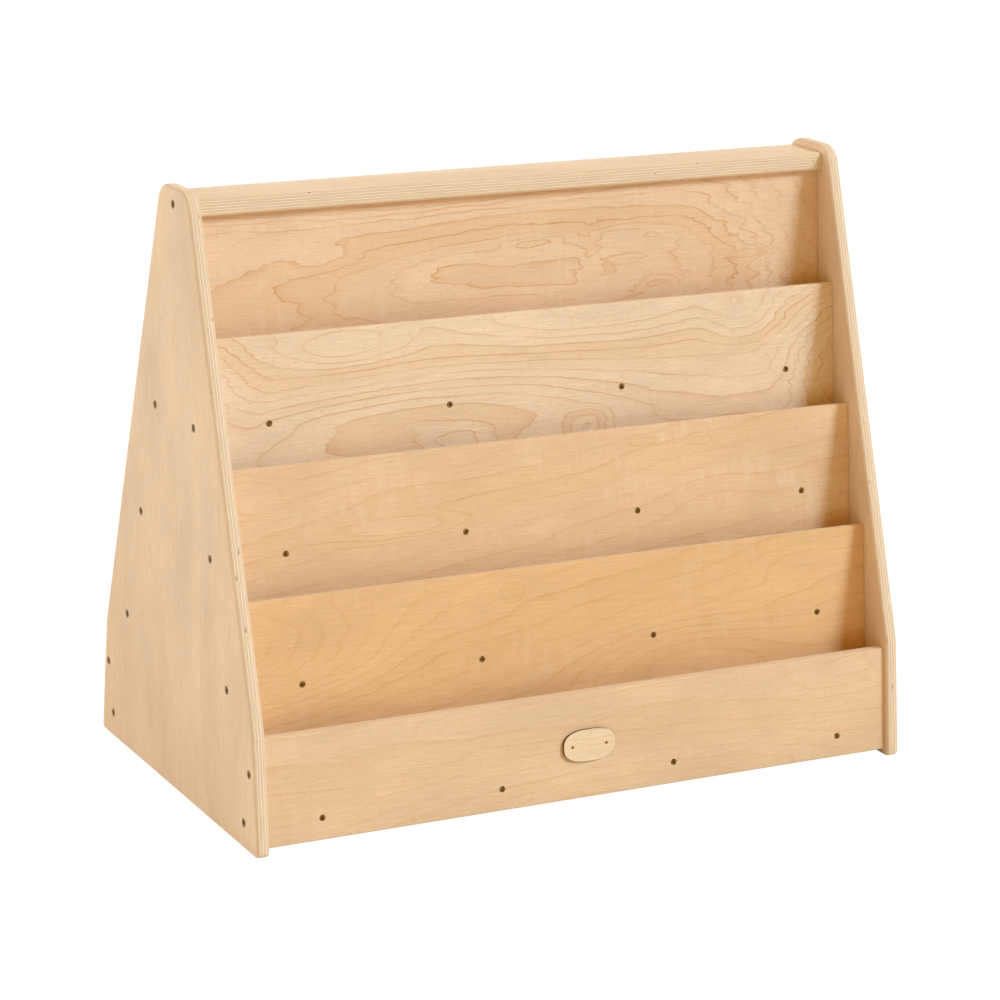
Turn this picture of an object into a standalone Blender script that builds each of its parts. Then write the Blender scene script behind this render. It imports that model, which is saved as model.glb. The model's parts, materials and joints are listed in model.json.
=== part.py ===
"""Double-sided display bookcase for children, in clear-lacquered birch plywood.

Two A-frame side panels carry a flat top rail and, on the front and on the rear, a stack of leaning boards.
Each pair of neighbouring boards forms a shallow book pocket, whose floor is a plywood strip between them.
Countersunk screws pass through the sides into the ends of the rail, floors and kick panels, and through the
boards into the floors. Units are metres, +Z is up, and the front faces -Y. The origin is on the ground, in
the middle of the bookcase.
"""

import math

import bmesh
import bpy
from mathutils import Matrix, Vector

# Plywood stock
THICK_PLY = 0.015
THIN_PLY = 0.009

# Side panels
WIDTH = 0.800
HEIGHT = 0.677
BASE_DEPTH = 0.458
SHOULDER_HEIGHT = 0.1355
SHOULDER_DEPTH = 0.427
TOP_DEPTH = 0.0752
TOP_RADIUS = 0.026
SHOULDER_RADIUS = 0.080
FOOT_RADIUS = 0.006
SIDE_EDGE_ROUND = 0.003

# Top rail
RAIL_DEPTH = 0.062
RAIL_THICKNESS = 0.020
RAIL_DROP = 0.008
RAIL_OVERHANG = 0.0103
RAIL_EDGE_ROUND = 0.003
GROOVE_DEPTH = 0.004

# Leaning boards
TIER_PITCH = 0.1325
TIER_PANELS = 3
KICK_TOP = 0.1267
KICK_RECESS = 0.0048
KICK_GROUND_GAP = 0.0065
KICK_EDGE_ROUND = 0.0022
PANEL_EDGE_ROUND = 0.0016

# Pockets
POCKET_DEPTH = 0.0218
KICK_POCKET_DEPTH = 0.0250
FLOOR_DROP = 0.095

# Screws
SIDE_SCREW_HEAD_D = 0.0096
SIDE_SCREW_SHANK_D = 0.0048
SIDE_SCREW_LENGTH = 0.040
SCREW_HEAD_D = 0.0070
SCREW_SHANK_D = 0.0034
KICK_SCREW_LENGTH = 0.032
TIER_SCREW_LENGTH = 0.025
SCREW_HEAD_RIM = 0.0004
SCREW_TIP = 0.0040
SCREW_SINK = 0.0003
RECESS_SPAN = 0.0042
RECESS_SLOT = 0.0011
RECESS_DEPTH = 0.0014
RECESS_TAPER = 0.60
PANEL_SCREWS = 4
PANEL_SCREW_INSET = 0.064
KICK_END_SCREW_DROP = 0.038

# Plaque on the front kick panel
PLAQUE_WIDTH = 0.064
PLAQUE_HEIGHT = 0.036
PLAQUE_THICKNESS = 0.003
PLAQUE_ROUNDNESS = 2.6

# Fits and facets
CLEARANCE = 0.0003
CUT_OVERSHOOT = 0.002
ROUND_STEPS = 10
CORNER_STEPS = 4
EDGE_STEPS = 3
PLAQUE_STEPS = 56
ROUND_PROFILE = 0.5
CREASE_ANGLE = math.radians(40)

# Worked out from the sizes above
INNER_WIDTH = WIDTH - 2 * THICK_PLY
BOARD_LENGTH = INNER_WIDTH - 2 * CLEARANCE
RAIL_TOP = HEIGHT - RAIL_DROP
RAIL_BOTTOM = RAIL_TOP - RAIL_THICKNESS
PANEL_SCREW_SPACING = (INNER_WIDTH - 2 * PANEL_SCREW_INSET) / (PANEL_SCREWS - 1)

# The kinds of screw, each as its length, head diameter and shank diameter
SIDE_SCREW = (SIDE_SCREW_LENGTH, SIDE_SCREW_HEAD_D, SIDE_SCREW_SHANK_D)
KICK_SCREW = (KICK_SCREW_LENGTH, SCREW_HEAD_D, SCREW_SHANK_D)
TIER_SCREW = (TIER_SCREW_LENGTH, SCREW_HEAD_D, SCREW_SHANK_D)


def material(name, colour, roughness, metallic=0.0):
    """One Principled material with a linear colour."""
    made = bpy.data.materials.new(name)
    made.use_nodes = True
    shader = made.node_tree.nodes["Principled BSDF"]
    shader.inputs["Base Color"].default_value = (*colour, 1.0)
    shader.inputs["Roughness"].default_value = roughness
    shader.inputs["Metallic"].default_value = metallic
    return made


def make_object(name, mesh, finish, parent=None):
    """Links a named object with its material, placed under a parent empty."""
    made = bpy.data.objects.new(name, mesh)
    made.data.materials.clear()
    made.data.materials.append(finish)
    made.parent = parent
    bpy.context.collection.objects.link(made)
    return made


def make_empty(name, matrix):
    """An empty that carries a group of pieces at its own place and lean."""
    made = bpy.data.objects.new(name, None)
    made.matrix_world = matrix
    bpy.context.collection.objects.link(made)
    return made


def shade_round(mesh):
    """Smooth shading with creases kept sharp."""
    mesh.shade_smooth()
    mesh.set_sharp_from_angle(angle=CREASE_ANGLE)


def arc_corner(before, corner, after, radius, steps):
    """Points of a rounded corner of an outline, from its first tangent point to its last."""
    to_before = (before - corner).normalized()
    to_after = (after - corner).normalized()
    half_angle = to_before.angle(to_after) / 2
    centre = corner + (to_before + to_after).normalized() * (radius / math.sin(half_angle))
    reach = radius / math.tan(half_angle)
    start = corner + to_before * reach - centre
    turn = math.pi - 2 * half_angle
    side = math.copysign(1.0, to_before.cross(to_after))
    return [centre + Matrix.Rotation(-side * turn * i / steps, 2) @ start for i in range(steps + 1)]


def rounded_outline(corners):
    """Outline from (point, radius, steps) corners, in order; a zero radius keeps the corner sharp."""
    outline = []
    for i, (point, radius, steps) in enumerate(corners):
        if radius == 0:
            outline.append(point)
            continue
        before = corners[i - 1][0]
        after = corners[(i + 1) % len(corners)][0]
        outline.extend(arc_corner(before, point, after, radius, steps))
    return outline


def prism_mesh(name, outline, x_low, x_high):
    """Extrudes a (y, z) outline along X into a closed solid."""
    bm = bmesh.new()
    face = bm.faces.new([bm.verts.new((x_low, p.x, p.y)) for p in outline])
    pulled = bmesh.ops.extrude_face_region(bm, geom=[face])
    moved = [v for v in pulled["geom"] if isinstance(v, bmesh.types.BMVert)]
    bmesh.ops.translate(bm, verts=moved, vec=(x_high - x_low, 0, 0))
    bmesh.ops.recalc_face_normals(bm, faces=bm.faces)
    mesh = bpy.data.meshes.new(name)
    bm.to_mesh(mesh)
    bm.free()
    return mesh


def turned_mesh(name, profile):
    """Turns a (radius, z) profile about Z; its first and last points lie on the axis."""
    bm = bmesh.new()
    rings = []
    for radius, z in profile:
        if radius == 0:
            rings.append([bm.verts.new((0, 0, z))])
            continue
        angles = [math.tau * i / ROUND_STEPS for i in range(ROUND_STEPS)]
        rings.append([bm.verts.new((radius * math.cos(a), radius * math.sin(a), z)) for a in angles])
    for upper, lower in zip(rings, rings[1:]):
        for i in range(ROUND_STEPS):
            corners = [upper[i % len(upper)], lower[i % len(lower)]]
            corners += [lower[(i + 1) % len(lower)], upper[(i + 1) % len(upper)]]
            bm.faces.new(list(dict.fromkeys(corners)))
    bmesh.ops.recalc_face_normals(bm, faces=bm.faces)
    mesh = bpy.data.meshes.new(name)
    bm.to_mesh(mesh)
    bm.free()
    return mesh


def screw_profile(kind, grow, sink, top):
    """Countersunk screw outline, head at z = 0 and tip below; grow and sink make it its own hole."""
    length, head_d, shank_d = kind
    head = head_d / 2 + grow
    shank = shank_d / 2 + grow
    neck = -SCREW_HEAD_RIM - (head - shank)
    tip = -length - sink - grow
    shank_end = tip + SCREW_TIP
    outer = [(head, top), (head, -SCREW_HEAD_RIM), (shank, neck), (shank, shank_end)]
    return [(0, top), *outer, (0, tip)]


def recess_cutter_mesh(head_d):
    """Tapered plus-shaped punch for the cross recess; a larger head has a larger recess."""
    larger = head_d / SCREW_HEAD_D
    arm = larger * RECESS_SPAN / 2
    slot = larger * RECESS_SLOT / 2
    floor = -larger * RECESS_DEPTH
    quarter = [Vector((arm, slot)), Vector((slot, slot)), Vector((slot, arm))]
    plus = [Matrix.Rotation(math.pi / 2 * k, 2) @ p for k in range(4) for p in quarter]
    bm = bmesh.new()
    upper = [bm.verts.new((p.x, p.y, CUT_OVERSHOOT)) for p in plus]
    lower = [bm.verts.new((p.x * RECESS_TAPER, p.y * RECESS_TAPER, floor)) for p in plus]
    bm.faces.new(upper)
    bm.faces.new(lower)
    for i in range(len(plus)):
        bm.faces.new([upper[i - 1], upper[i], lower[i], lower[i - 1]])
    bmesh.ops.recalc_face_normals(bm, faces=bm.faces)
    mesh = bpy.data.meshes.new("recess_cutter")
    bm.to_mesh(mesh)
    bm.free()
    return mesh


def screw_mesh(name, kind):
    """A screw with its cross recess cut, as one mesh that every screw of this kind shares."""
    profile = screw_profile(kind, 0.0, 0.0, 0.0)
    blank = bpy.data.objects.new("screw_blank", turned_mesh("screw_blank", profile))
    punch = bpy.data.objects.new("screw_punch", recess_cutter_mesh(kind[1]))
    for made in (blank, punch):
        bpy.context.collection.objects.link(made)
    cut = blank.modifiers.new("cross_recess", "BOOLEAN")
    cut.operation = "DIFFERENCE"
    cut.solver = "EXACT"
    cut.object = punch
    evaluated = blank.evaluated_get(bpy.context.evaluated_depsgraph_get())
    mesh = bpy.data.meshes.new_from_object(evaluated)
    mesh.name = name
    shade_round(mesh)
    bpy.data.objects.remove(blank)
    bpy.data.objects.remove(punch)
    return mesh


def hole_cutter(name, kind, places, parent=None):
    """Countersunk holes for screws of one kind, all in one cutter object."""
    hole = turned_mesh("hole", screw_profile(kind, CLEARANCE, SCREW_SINK, CUT_OVERSHOOT))
    bm = bmesh.new()
    for place in places:
        before = len(bm.verts)
        bm.from_mesh(hole)
        bm.verts.ensure_lookup_table()
        bmesh.ops.transform(bm, matrix=place, verts=bm.verts[before:])
    mesh = bpy.data.meshes.new(name)
    bm.to_mesh(mesh)
    bm.free()
    bpy.data.meshes.remove(hole)
    cutter = bpy.data.objects.new(name, mesh)
    cutter.parent = parent
    cutter.hide_render = True
    cutter.display_type = "WIRE"
    bpy.context.collection.objects.link(cutter)
    return cutter


def cut_holes(board, *cutters):
    """Cuts screw holes out of a board."""
    for cutter in cutters:
        cut = board.modifiers.new(cutter.name, "BOOLEAN")
        cut.operation = "DIFFERENCE"
        cut.solver = "EXACT"
        cut.object = cutter


def drive(name, mesh, place, finish, parent=None):
    """Seats one screw in its countersink, with its head just below the surface."""
    screw = make_object(name, mesh, finish, parent)
    screw.matrix_local = place @ Matrix.Translation((0, 0, -SCREW_SINK))
    return screw


def half_depth(z):
    """Half the depth of a side panel at a height."""
    if z < SHOULDER_HEIGHT:
        share = z / SHOULDER_HEIGHT
        return (BASE_DEPTH + (SHOULDER_DEPTH - BASE_DEPTH) * share) / 2
    share = (z - SHOULDER_HEIGHT) / (HEIGHT - SHOULDER_HEIGHT)
    return (SHOULDER_DEPTH + (TOP_DEPTH - SHOULDER_DEPTH) * share) / 2


def panel_front(tier):
    """Depth of a board's front face in the stack; tier 0 is the top panel, the last is the kick panel."""
    steps_in = TIER_PANELS - tier
    if steps_in < 0:
        return 0.0
    return THICK_PLY + KICK_POCKET_DEPTH + steps_in * (THIN_PLY + POCKET_DEPTH)


def stack_lean():
    """Lean that takes the boards from the kick panel, behind the sides' front edges, up to the rail."""
    run = -RAIL_DEPTH / 2 + RAIL_OVERHANG - KICK_FRONT
    rise = RAIL_BOTTOM - KICK_TOP
    return math.acos(panel_front(0) / math.hypot(run, rise)) - math.atan2(rise, run)


# The leaning stack's own frame: its origin is the kick panel's upper front edge, its Y runs into the stack,
# square to the boards, and its Z runs up along them.
KICK_FRONT = -half_depth(KICK_TOP) + KICK_RECESS
LEAN = stack_lean()
STACK_FRAME = Matrix.Translation((0, KICK_FRONT, KICK_TOP)) @ Matrix.Rotation(-LEAN, 4, "X")
REAR_TURN = Matrix.Rotation(math.pi, 4, "Z")


def stack_to_world(y, z):
    """World (y, z) of a point in the front stack's frame."""
    point = STACK_FRAME @ Vector((0, y, z))
    return Vector((point.y, point.z))


def stack_height(y, world_z):
    """Height along a board, at depth y in the stack, where it reaches a world height."""
    return (world_z - KICK_TOP + y * math.sin(LEAN)) / math.cos(LEAN)


def panel_thickness(tier):
    """The kick panel is thick stock, and the boards above it are thin."""
    return THICK_PLY if tier > TIER_PANELS else THIN_PLY


def panel_top(tier):
    """Height of a board's top edge along the stack; the top panel ends in the rail's groove."""
    if tier == 0:
        return stack_height(panel_front(0), RAIL_BOTTOM + GROOVE_DEPTH)
    return stack_height(panel_front(tier), KICK_TOP + (TIER_PANELS + 1 - tier) * TIER_PITCH)


def floor_centre(tier):
    """Depth and height of the middle of a pocket floor in the stack."""
    low = panel_front(tier) + panel_thickness(tier)
    return (low + panel_front(tier - 1)) / 2, panel_top(tier) - FLOOR_DROP


def panel_bottom(tier):
    """Height of a board's lower edge: level with the underside of the pocket floor in front of it."""
    if tier > TIER_PANELS:
        return stack_height(panel_thickness(tier), KICK_GROUND_GAP)
    return floor_centre(tier + 1)[1] - THICK_PLY / 2


def side_outline():
    """A-frame outline of a side panel, from the front foot round to the rear foot."""
    half = [
        (Vector((-BASE_DEPTH / 2, 0)), FOOT_RADIUS, CORNER_STEPS),
        (Vector((-SHOULDER_DEPTH / 2, SHOULDER_HEIGHT)), SHOULDER_RADIUS, CORNER_STEPS),
        (Vector((-TOP_DEPTH / 2, HEIGHT)), TOP_RADIUS, 2 * CORNER_STEPS),
    ]
    mirrored = [(Vector((-p.x, p.y)), radius, steps) for p, radius, steps in reversed(half)]
    return rounded_outline(half + mirrored)


def make_side(name, x_low, finish):
    """One side panel, with the arrises of its sawn edge rounded over."""
    mesh = prism_mesh(name, side_outline(), x_low, x_low + THICK_PLY)
    bm = bmesh.new()
    bm.from_mesh(mesh)
    arrises = [e for e in bm.edges if abs(e.verts[0].co.x - e.verts[1].co.x) < THICK_PLY / 2]
    bmesh.ops.bevel(
        bm,
        geom=arrises,
        offset=SIDE_EDGE_ROUND,
        offset_type="OFFSET",
        segments=EDGE_STEPS,
        profile=ROUND_PROFILE,
        affect="EDGES",
    )
    bm.to_mesh(mesh)
    bm.free()
    shade_round(mesh)
    return make_object(name, mesh, finish)


def rail_outline():
    """Rail section with rounded arrises and a slanted groove for each top panel's upper edge."""
    half_rail = RAIL_DEPTH / 2
    front = panel_front(0) - CLEARANCE
    back = panel_front(0) + panel_thickness(0) + CLEARANCE
    roof = panel_top(0) + CLEARANCE
    groove = [
        stack_to_world(back, stack_height(back, RAIL_BOTTOM)),
        stack_to_world(back, roof),
        stack_to_world(front, roof),
        stack_to_world(front, stack_height(front, RAIL_BOTTOM)),
    ]
    half = [(point, 0, 0) for point in groove]
    half.append((Vector((-half_rail, RAIL_BOTTOM)), RAIL_EDGE_ROUND, CORNER_STEPS))
    half.append((Vector((-half_rail, RAIL_TOP)), RAIL_EDGE_ROUND, CORNER_STEPS))
    mirrored = [(Vector((-p.x, p.y)), radius, steps) for p, radius, steps in reversed(half)]
    return rounded_outline(half + mirrored)


def make_rail(finish):
    """The flat top rail between the side panels."""
    mesh = prism_mesh("top_rail", rail_outline(), -BOARD_LENGTH / 2, BOARD_LENGTH / 2)
    shade_round(mesh)
    return make_object("top_rail", mesh, finish)


def make_panel(name, tier, finish, stack):
    """One leaning board with a rounded top edge; the kick panel's lower front arris is rounded too."""
    front = panel_front(tier)
    back = front + panel_thickness(tier)
    top = panel_top(tier)
    bottom = panel_bottom(tier)
    kick = tier > TIER_PANELS
    top_round = KICK_EDGE_ROUND if kick else PANEL_EDGE_ROUND
    foot_round = KICK_EDGE_ROUND if kick else 0
    outline = rounded_outline(
        [
            (Vector((front, bottom)), foot_round, CORNER_STEPS),
            (Vector((front, top)), top_round, CORNER_STEPS),
            (Vector((back, top)), top_round, CORNER_STEPS),
            (Vector((back, bottom)), 0, 0),
        ]
    )
    mesh = prism_mesh(name, outline, -BOARD_LENGTH / 2, BOARD_LENGTH / 2)
    shade_round(mesh)
    return make_object(name, mesh, finish, stack)


def make_floor(name, tier, finish, stack):
    """The strip that closes a pocket's bottom, between its front and back boards."""
    front = panel_front(tier) + panel_thickness(tier) + CLEARANCE
    back = panel_front(tier - 1) - CLEARANCE
    middle = floor_centre(tier)[1]
    low = middle - THICK_PLY / 2
    high = middle + THICK_PLY / 2
    outline = [Vector(p) for p in ((front, low), (front, high), (back, high), (back, low))]
    mesh = prism_mesh(name, outline, -BOARD_LENGTH / 2, BOARD_LENGTH / 2)
    return make_object(name, mesh, finish, stack)


def panel_screw_places(tier):
    """Screw places across a board, in the stack's frame, heads facing out."""
    first = -(PANEL_SCREWS - 1) / 2 * PANEL_SCREW_SPACING
    facing_out = Matrix.Rotation(math.pi / 2, 4, "X")
    depth = panel_front(tier)
    height = floor_centre(tier)[1]
    across = [first + i * PANEL_SCREW_SPACING for i in range(PANEL_SCREWS)]
    return [Matrix.Translation((x, depth, height)) @ facing_out for x in across]


def side_screw_spots():
    """Named (y, z) spots of the screws through a side panel."""
    spots = {"rail": Vector((0, RAIL_BOTTOM + RAIL_THICKNESS / 2))}
    spots["front_kick"] = stack_to_world(THICK_PLY / 2, panel_top(TIER_PANELS + 1) - KICK_END_SCREW_DROP)
    for tier in range(1, TIER_PANELS + 2):
        spots[f"front_floor_{tier}"] = stack_to_world(*floor_centre(tier))
    for name in [n for n in spots if n.startswith("front")]:
        spots[name.replace("front", "rear")] = Vector((-spots[name].x, spots[name].y))
    return spots


def side_screw_places(side):
    """Screw places in a side panel's outer face; side is -1 for the left panel and 1 for the right."""
    facing_out = Matrix.Rotation(side * math.pi / 2, 4, "Y")
    x = side * WIDTH / 2
    return {name: Matrix.Translation((x, p.x, p.y)) @ facing_out for name, p in side_screw_spots().items()}


def make_plaque(finish, stack):
    """A small plate with a rounded outline, on the middle of the front kick panel."""
    middle = (panel_top(TIER_PANELS + 1) + panel_bottom(TIER_PANELS + 1)) / 2
    back = panel_front(TIER_PANELS + 1) - CLEARANCE
    power = 2 / PLAQUE_ROUNDNESS
    bm = bmesh.new()
    rim = []
    for i in range(PLAQUE_STEPS):
        angle = math.tau * i / PLAQUE_STEPS
        c = math.cos(angle)
        s = math.sin(angle)
        x = PLAQUE_WIDTH / 2 * math.copysign(abs(c) ** power, c)
        z = PLAQUE_HEIGHT / 2 * math.copysign(abs(s) ** power, s)
        rim.append(bm.verts.new((x, back, middle + z)))
    pulled = bmesh.ops.extrude_face_region(bm, geom=[bm.faces.new(rim)])
    moved = [v for v in pulled["geom"] if isinstance(v, bmesh.types.BMVert)]
    bmesh.ops.translate(bm, verts=moved, vec=(0, -PLAQUE_THICKNESS, 0))
    bmesh.ops.recalc_face_normals(bm, faces=bm.faces)
    mesh = bpy.data.meshes.new("plaque")
    bm.to_mesh(mesh)
    bm.free()
    shade_round(mesh)
    return make_object("plaque", mesh, finish, stack)


def make_stack(end, matrix, finishes, side_cutters, screw_meshes):
    """The leaning boards and pocket floors of one face, with their screw holes."""
    stack = make_empty(f"{end}_stack", matrix)
    make_panel(f"{end}_top_panel", 0, finishes["panel"], stack)
    for tier in range(1, TIER_PANELS + 2):
        kick = tier > TIER_PANELS
        name = f"{end}_kick_panel" if kick else f"{end}_tier_panel_{tier}"
        kind = KICK_SCREW if kick else TIER_SCREW
        places = panel_screw_places(tier)
        holes = hole_cutter(f"{end}_holes_{tier}", kind, places, stack)
        panel = make_panel(name, tier, finishes["kick" if kick else "panel"], stack)
        floor = make_floor(f"{end}_pocket_floor_{tier}", tier, finishes["floor"], stack)
        cut_holes(panel, holes, *(side_cutters if kick else ()))
        cut_holes(floor, holes, *side_cutters)
        if end == "front":
            for i, place in enumerate(places, 1):
                drive(f"front_screw_{tier}_{i}", screw_meshes[kind], place, finishes["screw"], stack)
    return stack


def main():
    for old in list(bpy.data.objects):
        bpy.data.objects.remove(old)

    finishes = {
        "side": material("birch_ply_side", (0.73, 0.53, 0.33), 0.42),
        "rail": material("birch_ply_rail", (0.71, 0.50, 0.29), 0.42),
        "panel": material("birch_ply_panel", (0.70, 0.46, 0.25), 0.40),
        "kick": material("birch_ply_kick", (0.72, 0.50, 0.30), 0.40),
        "floor": material("birch_ply_floor", (0.68, 0.45, 0.25), 0.48),
        "plaque": material("birch_plaque", (0.75, 0.54, 0.33), 0.55),
        "screw": material("bronze_screw", (0.10, 0.055, 0.025), 0.38, 0.9),
    }
    kinds = (SIDE_SCREW, KICK_SCREW, TIER_SCREW)
    screw_meshes = {kind: screw_mesh("screw", kind) for kind in kinds}

    sides = {"left": -1, "right": 1}
    side_cutters = []
    for word, side in sides.items():
        places = side_screw_places(side)
        side_cutters.append(hole_cutter(f"side_holes_{word}", SIDE_SCREW, places.values()))
        x_low = -WIDTH / 2 if side < 0 else WIDTH / 2 - THICK_PLY
        cut_holes(make_side(f"side_{word}", x_low, finishes["side"]), side_cutters[-1])
        for spot, place in places.items():
            drive(f"side_screw_{word}_{spot}", screw_meshes[SIDE_SCREW], place, finishes["screw"])

    cut_holes(make_rail(finishes["rail"]), *side_cutters)
    front = make_stack("front", STACK_FRAME, finishes, side_cutters, screw_meshes)
    make_stack("rear", REAR_TURN @ STACK_FRAME, finishes, side_cutters, screw_meshes)
    make_plaque(finishes["plaque"], front)


main()
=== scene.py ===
"""Looks of a double-sided display bookcase for children, in clear-lacquered birch plywood.

Laid out as an add-on and run as a script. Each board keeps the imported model's shape and gets smooth arrises
and its own birch figure. One screw is modelled and driven into every hole, and a white stage holds the light
and the camera.
"""

import json
import math

import bmesh
import bpy
from bpy.props import FloatProperty, FloatVectorProperty, IntProperty, PointerProperty
from mathutils import Matrix, Vector

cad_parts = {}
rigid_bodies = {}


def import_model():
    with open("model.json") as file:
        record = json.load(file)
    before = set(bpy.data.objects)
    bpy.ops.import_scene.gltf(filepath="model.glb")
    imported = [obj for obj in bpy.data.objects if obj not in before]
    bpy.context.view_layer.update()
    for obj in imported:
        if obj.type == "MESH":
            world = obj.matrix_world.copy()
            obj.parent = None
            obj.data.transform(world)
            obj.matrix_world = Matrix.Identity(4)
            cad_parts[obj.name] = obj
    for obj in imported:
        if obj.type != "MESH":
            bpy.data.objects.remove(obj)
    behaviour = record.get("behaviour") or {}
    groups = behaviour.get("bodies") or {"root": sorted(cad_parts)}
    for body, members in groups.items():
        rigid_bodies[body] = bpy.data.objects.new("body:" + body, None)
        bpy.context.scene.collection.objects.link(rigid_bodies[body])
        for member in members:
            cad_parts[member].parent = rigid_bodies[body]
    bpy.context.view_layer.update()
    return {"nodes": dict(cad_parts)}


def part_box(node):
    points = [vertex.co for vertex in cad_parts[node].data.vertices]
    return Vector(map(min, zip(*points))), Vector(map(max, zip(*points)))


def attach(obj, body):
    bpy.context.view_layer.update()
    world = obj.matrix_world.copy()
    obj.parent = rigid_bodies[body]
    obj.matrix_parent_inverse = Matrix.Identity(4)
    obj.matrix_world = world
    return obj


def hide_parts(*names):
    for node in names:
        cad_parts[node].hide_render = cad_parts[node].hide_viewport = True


for leftover in list(bpy.data.objects):
    bpy.data.objects.remove(leftover)
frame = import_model()

bl_info = {
    "name": "Display Bookcase",
    "version": (1, 0, 0),
    "blender": (4, 5, 0),
    "location": "3D View > Sidebar > Bookcase",
    "description": "Dresses a packed birch plywood display bookcase",
    "category": "Object",
}

MM = 0.001
UP = Vector((0, 0, 1))
ACROSS = Vector((1, 0, 0))
FRONT = Vector((0, -1, 0))
REAR_TURN = Matrix.Rotation(math.pi, 4, "Z")
# Least cosine at which a face counts as facing a way, and the turn that spreads the screws' recesses evenly.
FACING = 0.9
GOLDEN_TURN = math.pi * (3 - math.sqrt(5))
# Flat seams are dissolved below the first of these angles, and edges are smooth below the others.
SEAM_ANGLE = math.radians(0.2)
BOARD_SMOOTH = math.radians(38)
SCREW_SMOOTH = math.radians(35)
PIN_SMOOTH = math.radians(40)
# Facets of a screw, of a pin and of the floor, and steps in a rounded rim.
SCREW_SIDES = 32
PIN_SIDES, PIN_RINGS = 24, 12
FLOOR_SIDES = 96
RIM_STEPS = 3
# A screw's last threads taper, and its tip and the bottom of its recess narrow to these shares.
TAPERED_THREADS = 3
TIP_SHARE = 0.2
RECESS_SHARE = 0.5

# Patterns of rotary-cut birch, as (mm along the grain, mm across it, detail, roughness). Real fibres are
# about 0.1 mm wide, which is too fine to show, so they are drawn 1.5 mm wide.
PATTERNS = {
    "warp": (46, 10, 3.0, 0.55),
    "wander": (230, 44, 1.5, 0.50),
    "fade": (90, 26, 2.0, 0.50),
    "tone": (180, 70, 2.0, 0.50),
    "fibre": (42, 1.5, 3.0, 0.60),
    "pore": (9, 1.1, 1.0, 0.50),
    # Pale patches across the grain, painted as sheen.
    "painted_sheen": (12, 40, 2.0, 0.55),
    "patch": (130, 50, 1.0, 0.50),
    "fleck": (8, 1.2, 1.0, 0.50),
}
# How far one pattern lies from the next and one sheet of veneer from the next, in cells of their noise.
SHIFT_ALONG, SHIFT_ACROSS = 5.3, 3.1
SEED_ACROSS = 1.7
SHEET_STEP = 1.37

# Other patterns in mm: streaks on a sawn edge (along, into and across the board), gaps in the plies drawn in
# painted shade, rubbed patches on the screws and the tooth of the paper.
STREAK = (24, 0.55, 24)
VOID_SHADE_SIZE = 9
WEAR = 1.4
TOOTH = 2

# Ramps, as the two ends of the value that is read and of the one that is given. Where only two numbers stand
# here, the board's figure gives the others.
RAMP_ENDS = ("From Min", "From Max", "To Min", "To Max")
RAMP_VALUES = {
    "ring_fade": (0.0, 0.55, 1.0, 0.0),
    "stroke": (0.15, 0.9, 1.0, 0.0),
    "ring_strength": (0.0, 1.0, 0.4, 1.0),
    "line_fade": (0.32, 0.62),
    "warm_zone": (0.5, 1.0),
    "pore": (0.54, 0.74, 0.0, 0.5),
    # Pale cross-grain patches of painted sheen.
    "painted_sheen": (0.44, 0.80, 0.0, 1.0),
    "patch": (0.46, 0.62),
    "fleck": (0.74, 0.80, 0.0, 0.5),
    # Gaps in the core plies, drawn in dark painted shade.
    "void": (0.82, 0.85, 0.0, 0.8),
    "scorch": (0.10, 0.45, 1.0, 0.0),
    "lacquer_roughness": (0.3, 0.7, 0.58, 0.70),
    "worn": (0.42, 0.66, 0.0, 0.8),
    "film_roughness": (0.3, 0.7, 0.30, 0.48),
}
RAMPS = {word: dict(zip(RAMP_ENDS, values)) for word, values in RAMP_VALUES.items()}

# Veneer: how much tone clouds and fibres darken or lighten it, how fast and how strongly a ring line fades on
# one side, its weakest part, and how strong the warm zones are for lines of full strength.
TONE_BASE, TONE_SWING, FIBRE_SWING = 0.65, 0.32, 0.42
FADE_POWER, FADE_SHARE = 4.5, 0.55
WEAKEST_LINE = 0.3
WARM_SHARE = 0.7
# The least share of a ring that a line covers, how deep an eye reaches (through every sheet), and the share
# of a ply by which a face is read inside the board.
LEAST_COVER = 0.003
EVERY_SHEET = 1e6
SKIN_SHARE = 0.01
# Sawn edge: how much its streaks darken or lighten it, and how strong its glue lines are.
STREAK_BASE, STREAK_SWING = 0.75, 0.5
GLUE_SHARE = 0.42
# Heights of the fibres, the film's wear and the paper's tooth, in metres.
FIBRE_RELIEF = 0.0002
WEAR_RELIEF = 0.00005
TOOTH_RELIEF = 0.0002

# Veneer on the far side: its eyes swap ends, move in, drop by some mm and stretch. Seeds step from one sheet
# to the next.
FAR_SHARE, FAR_DROP, FAR_STRETCH = 0.8, 8, 1.1
FAR_SIDE_STEP, REAR_STEP, POCKET_FLOOR_STEP = 2.3, 4.7, 1.9

# Stage: the floor's radius in metres, the way to each lamp, and the camera's place, turn and sensor (mm).
FLOOR_RADIUS = 30
LAMP_WAYS = {
    "key_light": (2.325, -1.98, 1.90),
    "side_light": (-0.95, 0.29, 0.08),
    "back_light": (0.30, 0.94, 0.15),
    "top_light": (0.0, 0.20, 0.98),
}
CAMERA_PLACE = (-1.7686, -3.4389, 1.3886)
CAMERA_TURN = [math.radians(angle) for angle in (74.133, -1.132, -26.836)]
CAMERA_SENSOR = 36
WHITE = (1, 1, 1, 1)
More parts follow.
